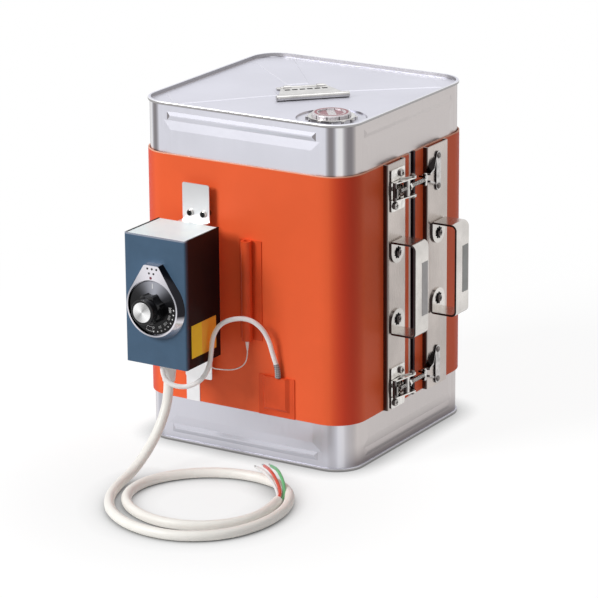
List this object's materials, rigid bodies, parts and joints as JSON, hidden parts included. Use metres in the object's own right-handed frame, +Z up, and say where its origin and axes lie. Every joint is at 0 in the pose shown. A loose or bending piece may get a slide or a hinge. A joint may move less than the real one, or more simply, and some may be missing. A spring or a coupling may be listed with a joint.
{
  "type": "square can heater",
  "caption": "Square can with an orange silicone band heater, thermostat box with a round dial, side clamping plates, handles, toggle latches and a white power cable.",
  "frame": {"origin": "middle of the can's base, on the surface that it stands on", "axes": "+Z up along the can; -Y is the front with the thermostat box; +X is the side with the latches and handles"},
  "size_m": [0.2774, 0.4778, 0.3512],
  "materials": {
    "tinplate": "plain tinplate, dull and smooth",
    "tinplate_bright": "bright tinplate",
    "cap_paint": "silver cap with a plain red ring",
    "silicone_sheet": "orange silicone rubber sheet, satin",
    "silicone_moulding": "orange silicone rubber, moulded",
    "probe_sleeve": "pale heat shrink sleeve",
    "thin_lead": "thin pale insulated wire",
    "lead_rubber": "white silicone insulated lead",
    "grey_braid": "grey braided glass sleeve",
    "bracket_zinc": "plain plated sheet steel",
    "screw_steel": "plated steel fastener",
    "box_paint": "dark blue grey paint, satin",
    "chassis_plate": "plain plated sheet",
    "yellow_label": "plain yellow label, bare",
    "chrome_bezel": "chromed bezel",
    "dial_black": "black dial skirt",
    "knob_black": "black moulded knob",
    "spun_silver": "spun silver cap",
    "brown_phenolic": "brown moulded housing",
    "shaft_brass": "turned brass",
    "block_ceramic": "white ceramic block",
    "white_nylon": "white nylon",
    "cable_rubber": "off-white rubber sheath",
    "core_red_skin": "red core insulation, tinned tip",
    "core_green_skin": "green core insulation, tinned tip",
    "core_white_skin": "white core insulation, tinned tip",
    "plate_stainless": "stainless sheet, lightly brushed",
    "handle_stainless": "stainless strap, lightly brushed",
    "latch_stainless": "polished stainless",
    "grey_label": "plain grey label, bare"
  },
  "bodies": {
    "heater": {"can": "tinplate", "can_cap": "cap_paint", "cap_ring": "tinplate_bright", "carry_saddle": "tinplate_bright", "heater_band": "silicone_sheet", "sensor_pocket": "silicone_moulding", "lead_pocket": "silicone_moulding", "sensor_probe": "probe_sleeve", "sensor_lead": "thin_lead", "heater_lead": "lead_rubber", "lead_sleeve": "grey_braid", "hanger_strip": "bracket_zinc", "upper_bracket": "bracket_zinc", "lower_bracket": "bracket_zinc", "bracket_screws": "screw_steel", "bracket_studs": "screw_steel", "box_cover": "box_paint", "box_chassis": "chassis_plate", "box_cover_screws": "screw_steel", "box_label": "yellow_label", "escutcheon": "chrome_bezel", "thermostat_body": "brown_phenolic", "terminal_block": "block_ceramic", "power_gland": "white_nylon", "lead_bushes": "white_nylon", "power_cable": "cable_rubber", "core_red": "core_red_skin", "core_green": "core_green_skin", "core_white": "core_white_skin", "front_latch_plate": "plate_stainless", "rear_latch_plate": "plate_stainless", "front_handle": "handle_stainless", "rear_handle": "handle_stainless", "handle_screws": "screw_steel", "handle_nuts": "screw_steel", "front_handle_label": "grey_label", "rear_handle_label": "grey_label", "upper_latch_base": "latch_stainless", "upper_latch_keeper": "latch_stainless", "upper_latch_base_screws": "screw_steel", "upper_latch_pivot_rivets": "screw_steel", "upper_latch_keeper_rivets": "screw_steel", "lower_latch_base": "latch_stainless", "lower_latch_keeper": "latch_stainless", "lower_latch_base_screws": "screw_steel", "lower_latch_pivot_rivets": "screw_steel", "lower_latch_keeper_rivets": "screw_steel"},
    "dial": {"dial_skirt": "dial_black", "knob": "knob_black", "knob_cap": "spun_silver", "thermostat_shaft": "shaft_brass"},
    "carry_bail": {"carry_handle": "tinplate_bright"},
    "upper_lever": {"upper_latch_lever": "latch_stainless"},
    "upper_link": {"upper_latch_link": "latch_stainless", "upper_latch_link_nut": "latch_stainless", "upper_latch_trunnion": "latch_stainless"},
    "lower_lever": {"lower_latch_lever": "latch_stainless"},
    "lower_link": {"lower_latch_link": "latch_stainless", "lower_latch_link_nut": "latch_stainless", "lower_latch_trunnion": "latch_stainless"}
  },
  "joints": [
    {"name": "dial_turn", "type": "hinge", "parent": "heater", "child": "dial", "pos_m": [-0.047, -0.21, 0.1685], "axis": [0, 1, 0], "range_deg": [0, 290]},
    {"name": "carry_handle_lift", "type": "hinge", "parent": "heater", "child": "carry_bail", "pos_m": [-0.00354, 0.00354, 0.3482], "axis": [-0.7071, -0.7071, 0], "range_deg": [0, 105]},
    {"name": "upper_lever_turn", "type": "hinge", "parent": "heater", "child": "upper_lever", "pos_m": [0.1348, -0.02, 0.271], "axis": [0, 0, 1], "range_deg": [0, 110]},
    {"name": "upper_link_turn", "type": "hinge", "parent": "upper_lever", "child": "upper_link", "pos_m": [0.1332, -0.029, 0.271], "axis": [0, 0, 1], "range_deg": [-137.5, 0]},
    {"name": "lower_lever_turn", "type": "hinge", "parent": "heater", "child": "lower_lever", "pos_m": [0.1348, -0.02, 0.07], "axis": [0, 0, 1], "range_deg": [0, 110]},
    {"name": "lower_link_turn", "type": "hinge", "parent": "lower_lever", "child": "lower_link", "pos_m": [0.1332, -0.029, 0.07], "axis": [0, 0, 1], "range_deg": [-137.5, 0]}
  ],
  "couplings": [
    {"joint": "upper_link_turn", "follows": "upper_lever_turn", "ratio": -1.25},
    {"joint": "lower_link_turn", "follows": "lower_lever_turn", "ratio": -1.25}
  ]
}
